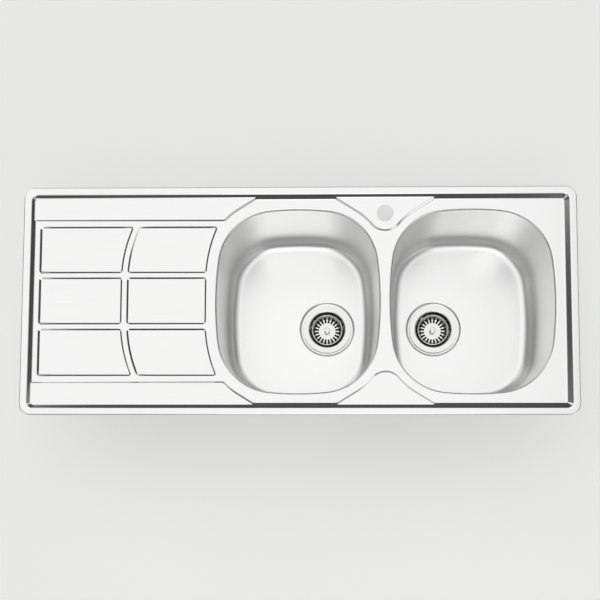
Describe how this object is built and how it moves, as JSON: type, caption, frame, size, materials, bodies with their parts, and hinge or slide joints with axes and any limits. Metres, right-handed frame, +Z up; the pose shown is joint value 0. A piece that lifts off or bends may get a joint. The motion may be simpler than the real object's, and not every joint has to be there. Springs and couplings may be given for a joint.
{
  "type": "kitchen sink",
  "caption": "Inset stainless steel kitchen sink with twin rounded bowls, a panelled drainer, a tap ledge and basket strainer wastes.",
  "frame": {"origin": "centre of the worktop cut-out, in the worktop's surface", "axes": "+X along the sink from the drainer to the bowls, +Y to the back where the tap stands, +Z up"},
  "size_m": [1.2, 0.5, 0.2753],
  "materials": {
    "satin_steel": "satin",
    "polished_steel": "polished",
    "welded_steel": "mill",
    "zinc_steel": "zinc plated",
    "white_plastic": "moulded",
    "black_rubber": "matte",
    "damping_sheet": "matte",
    "foam": "matte"
  },
  "bodies": {
    "sink": {"deck": "satin_steel", "rim_seal": "foam", "clip_brackets": "welded_steel", "clip_screws": "zinc_steel", "left_bowl": "satin_steel", "left_sound_pad": "damping_sheet", "left_flange_gasket": "black_rubber", "left_body_gasket": "black_rubber", "left_strainer_cup": "polished_steel", "left_waste_body": "white_plastic", "left_waste_tail": "white_plastic", "left_centre_screw": "polished_steel", "right_bowl": "satin_steel", "right_sound_pad": "damping_sheet", "right_flange_gasket": "black_rubber", "right_body_gasket": "black_rubber", "right_strainer_cup": "polished_steel", "right_waste_body": "white_plastic", "right_waste_tail": "white_plastic", "right_centre_screw": "polished_steel"},
    "left_basket": {"left_basket": "polished_steel", "left_basket_knob": "polished_steel", "left_basket_stopper": "black_rubber", "left_stem_clip": "polished_steel"},
    "right_basket": {"right_basket": "polished_steel", "right_basket_knob": "polished_steel", "right_basket_stopper": "black_rubber", "right_stem_clip": "polished_steel"},
    "clip_hook_back_1": {"clip_hook_back_1": "zinc_steel"},
    "clip_hook_back_2": {"clip_hook_back_2": "zinc_steel"},
    "clip_hook_back_3": {"clip_hook_back_3": "zinc_steel"},
    "clip_hook_back_4": {"clip_hook_back_4": "zinc_steel"},
    "clip_hook_back_5": {"clip_hook_back_5": "zinc_steel"},
    "clip_hook_front_1": {"clip_hook_front_1": "zinc_steel"},
    "clip_hook_front_2": {"clip_hook_front_2": "zinc_steel"},
    "clip_hook_front_3": {"clip_hook_front_3": "zinc_steel"},
    "clip_hook_front_4": {"clip_hook_front_4": "zinc_steel"},
    "clip_hook_front_5": {"clip_hook_front_5": "zinc_steel"}
  },
  "joints": [
    {"name": "basket_left_lift", "type": "slide", "parent": "sink", "child": "left_basket", "axis": [0, 0, 1], "range_m": [0, 0.24]},
    {"name": "basket_right_lift", "type": "slide", "parent": "sink", "child": "right_basket", "axis": [0, 0, 1], "range_m": [0, 0.24]},
    {"name": "clip_back_1_turn", "type": "hinge", "parent": "sink", "child": "clip_hook_back_1", "pos_m": [-0.51, 0.226, -0.0533], "axis": [0, 0, 1], "range_deg": [0, 90]},
    {"name": "clip_back_2_turn", "type": "hinge", "parent": "sink", "child": "clip_hook_back_2", "pos_m": [-0.2225, 0.226, -0.0533], "axis": [0, 0, 1], "range_deg": [0, 90]},
    {"name": "clip_back_3_turn", "type": "hinge", "parent": "sink", "child": "clip_hook_back_3", "pos_m": [0.13625, 0.226, -0.0533], "axis": [0, 0, 1], "range_deg": [0, 90]},
    {"name": "clip_back_4_turn", "type": "hinge", "parent": "sink", "child": "clip_hook_back_4", "pos_m": [0.23625, 0.226, -0.0533], "axis": [0, 0, 1], "range_deg": [0, 90]},
    {"name": "clip_back_5_turn", "type": "hinge", "parent": "sink", "child": "clip_hook_back_5", "pos_m": [0.53, 0.226, -0.0533], "axis": [0, 0, 1], "range_deg": [0, 90]},
    {"name": "clip_front_1_turn", "type": "hinge", "parent": "sink", "child": "clip_hook_front_1", "pos_m": [-0.51, -0.226, -0.0533], "axis": [0, 0, 1], "range_deg": [0, 90]},
    {"name": "clip_front_2_turn", "type": "hinge", "parent": "sink", "child": "clip_hook_front_2", "pos_m": [-0.2225, -0.226, -0.0533], "axis": [0, 0, 1], "range_deg": [0, 90]},
    {"name": "clip_front_3_turn", "type": "hinge", "parent": "sink", "child": "clip_hook_front_3", "pos_m": [0.13625, -0.226, -0.0533], "axis": [0, 0, 1], "range_deg": [0, 90]},
    {"name": "clip_front_4_turn", "type": "hinge", "parent": "sink", "child": "clip_hook_front_4", "pos_m": [0.23625, -0.226, -0.0533], "axis": [0, 0, 1], "range_deg": [0, 90]},
    {"name": "clip_front_5_turn", "type": "hinge", "parent": "sink", "child": "clip_hook_front_5", "pos_m": [0.53, -0.226, -0.0533], "axis": [0, 0, 1], "range_deg": [0, 90]}
  ]
}
